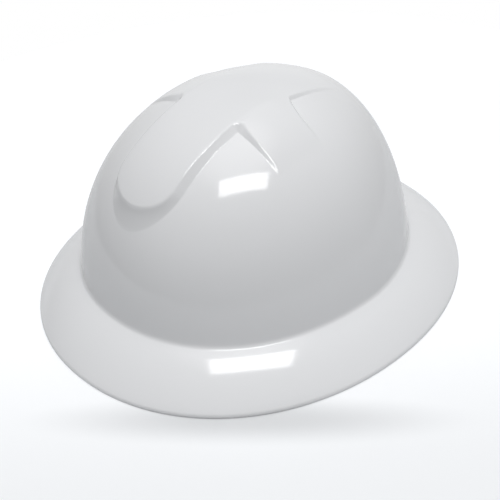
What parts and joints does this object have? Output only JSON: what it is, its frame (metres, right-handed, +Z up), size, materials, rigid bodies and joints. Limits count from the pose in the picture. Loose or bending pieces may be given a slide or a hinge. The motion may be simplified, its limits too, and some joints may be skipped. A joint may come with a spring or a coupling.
{
  "type": "full brim hard hat",
  "caption": "Full brim hard hat: glossy white domed shell with a raised cross-shaped crest over a strap suspension with a ratchet headband.",
  "frame": {"origin": "centre of the rim on the surface that the hat rests on", "axes": "+Z up, front of the hat towards -Y, wearer's left towards +X"},
  "size_m": [0.2877, 0.3164, 0.1476],
  "materials": {
    "shell": "glossy moulded white polyethylene",
    "key": "black moulded polyethylene",
    "webbing": "black woven polyester webbing",
    "band": "black moulded polyethylene",
    "pad": "black knitted brow fabric over foam",
    "housing": "black moulded nylon",
    "knob": "black moulded nylon",
    "gear": "natural acetal",
    "steel": "zinc plated"
  },
  "bodies": {
    "shell": {"shell": "shell", "crown_strap_upper": "webbing", "crown_strap_lower": "webbing", "headband": "band", "sweatband": "pad", "ratchet_housing": "housing", "ratchet_inner_cover": "housing", "housing_screws": "steel", "nape_pad": "pad", "detent_spring": "steel", "key_front_left": "key", "key_front_right": "key", "key_rear_left": "key", "key_rear_right": "key"},
    "knob": {"ratchet_knob": "knob", "knob_washer": "steel", "knob_screw": "steel", "pinion_gear": "gear"},
    "nape_left": {"nape_strap_left": "band"},
    "nape_right": {"nape_strap_right": "band"}
  },
  "joints": [
    {"name": "knob_turn", "type": "hinge", "parent": "shell", "child": "knob", "pos_m": [0, 0.014, 0.02], "axis": [0, 1, 0], "range_deg": [-343, 343]},
    {"name": "nape_left_slide", "type": "hinge", "parent": "shell", "child": "nape_left", "pos_m": [0, 0.014, 0.02], "axis": [0, 0, 1], "range_deg": [-21.8, 21.8]},
    {"name": "nape_right_slide", "type": "hinge", "parent": "shell", "child": "nape_right", "pos_m": [0, 0.014, 0.02], "axis": [0, 0, 1], "range_deg": [-22.3, 22.3]}
  ],
  "couplings": [
    {"joint": "nape_left_slide", "follows": "knob_turn", "ratio": -0.063371},
    {"joint": "nape_right_slide", "follows": "knob_turn", "ratio": 0.064935}
  ]
}
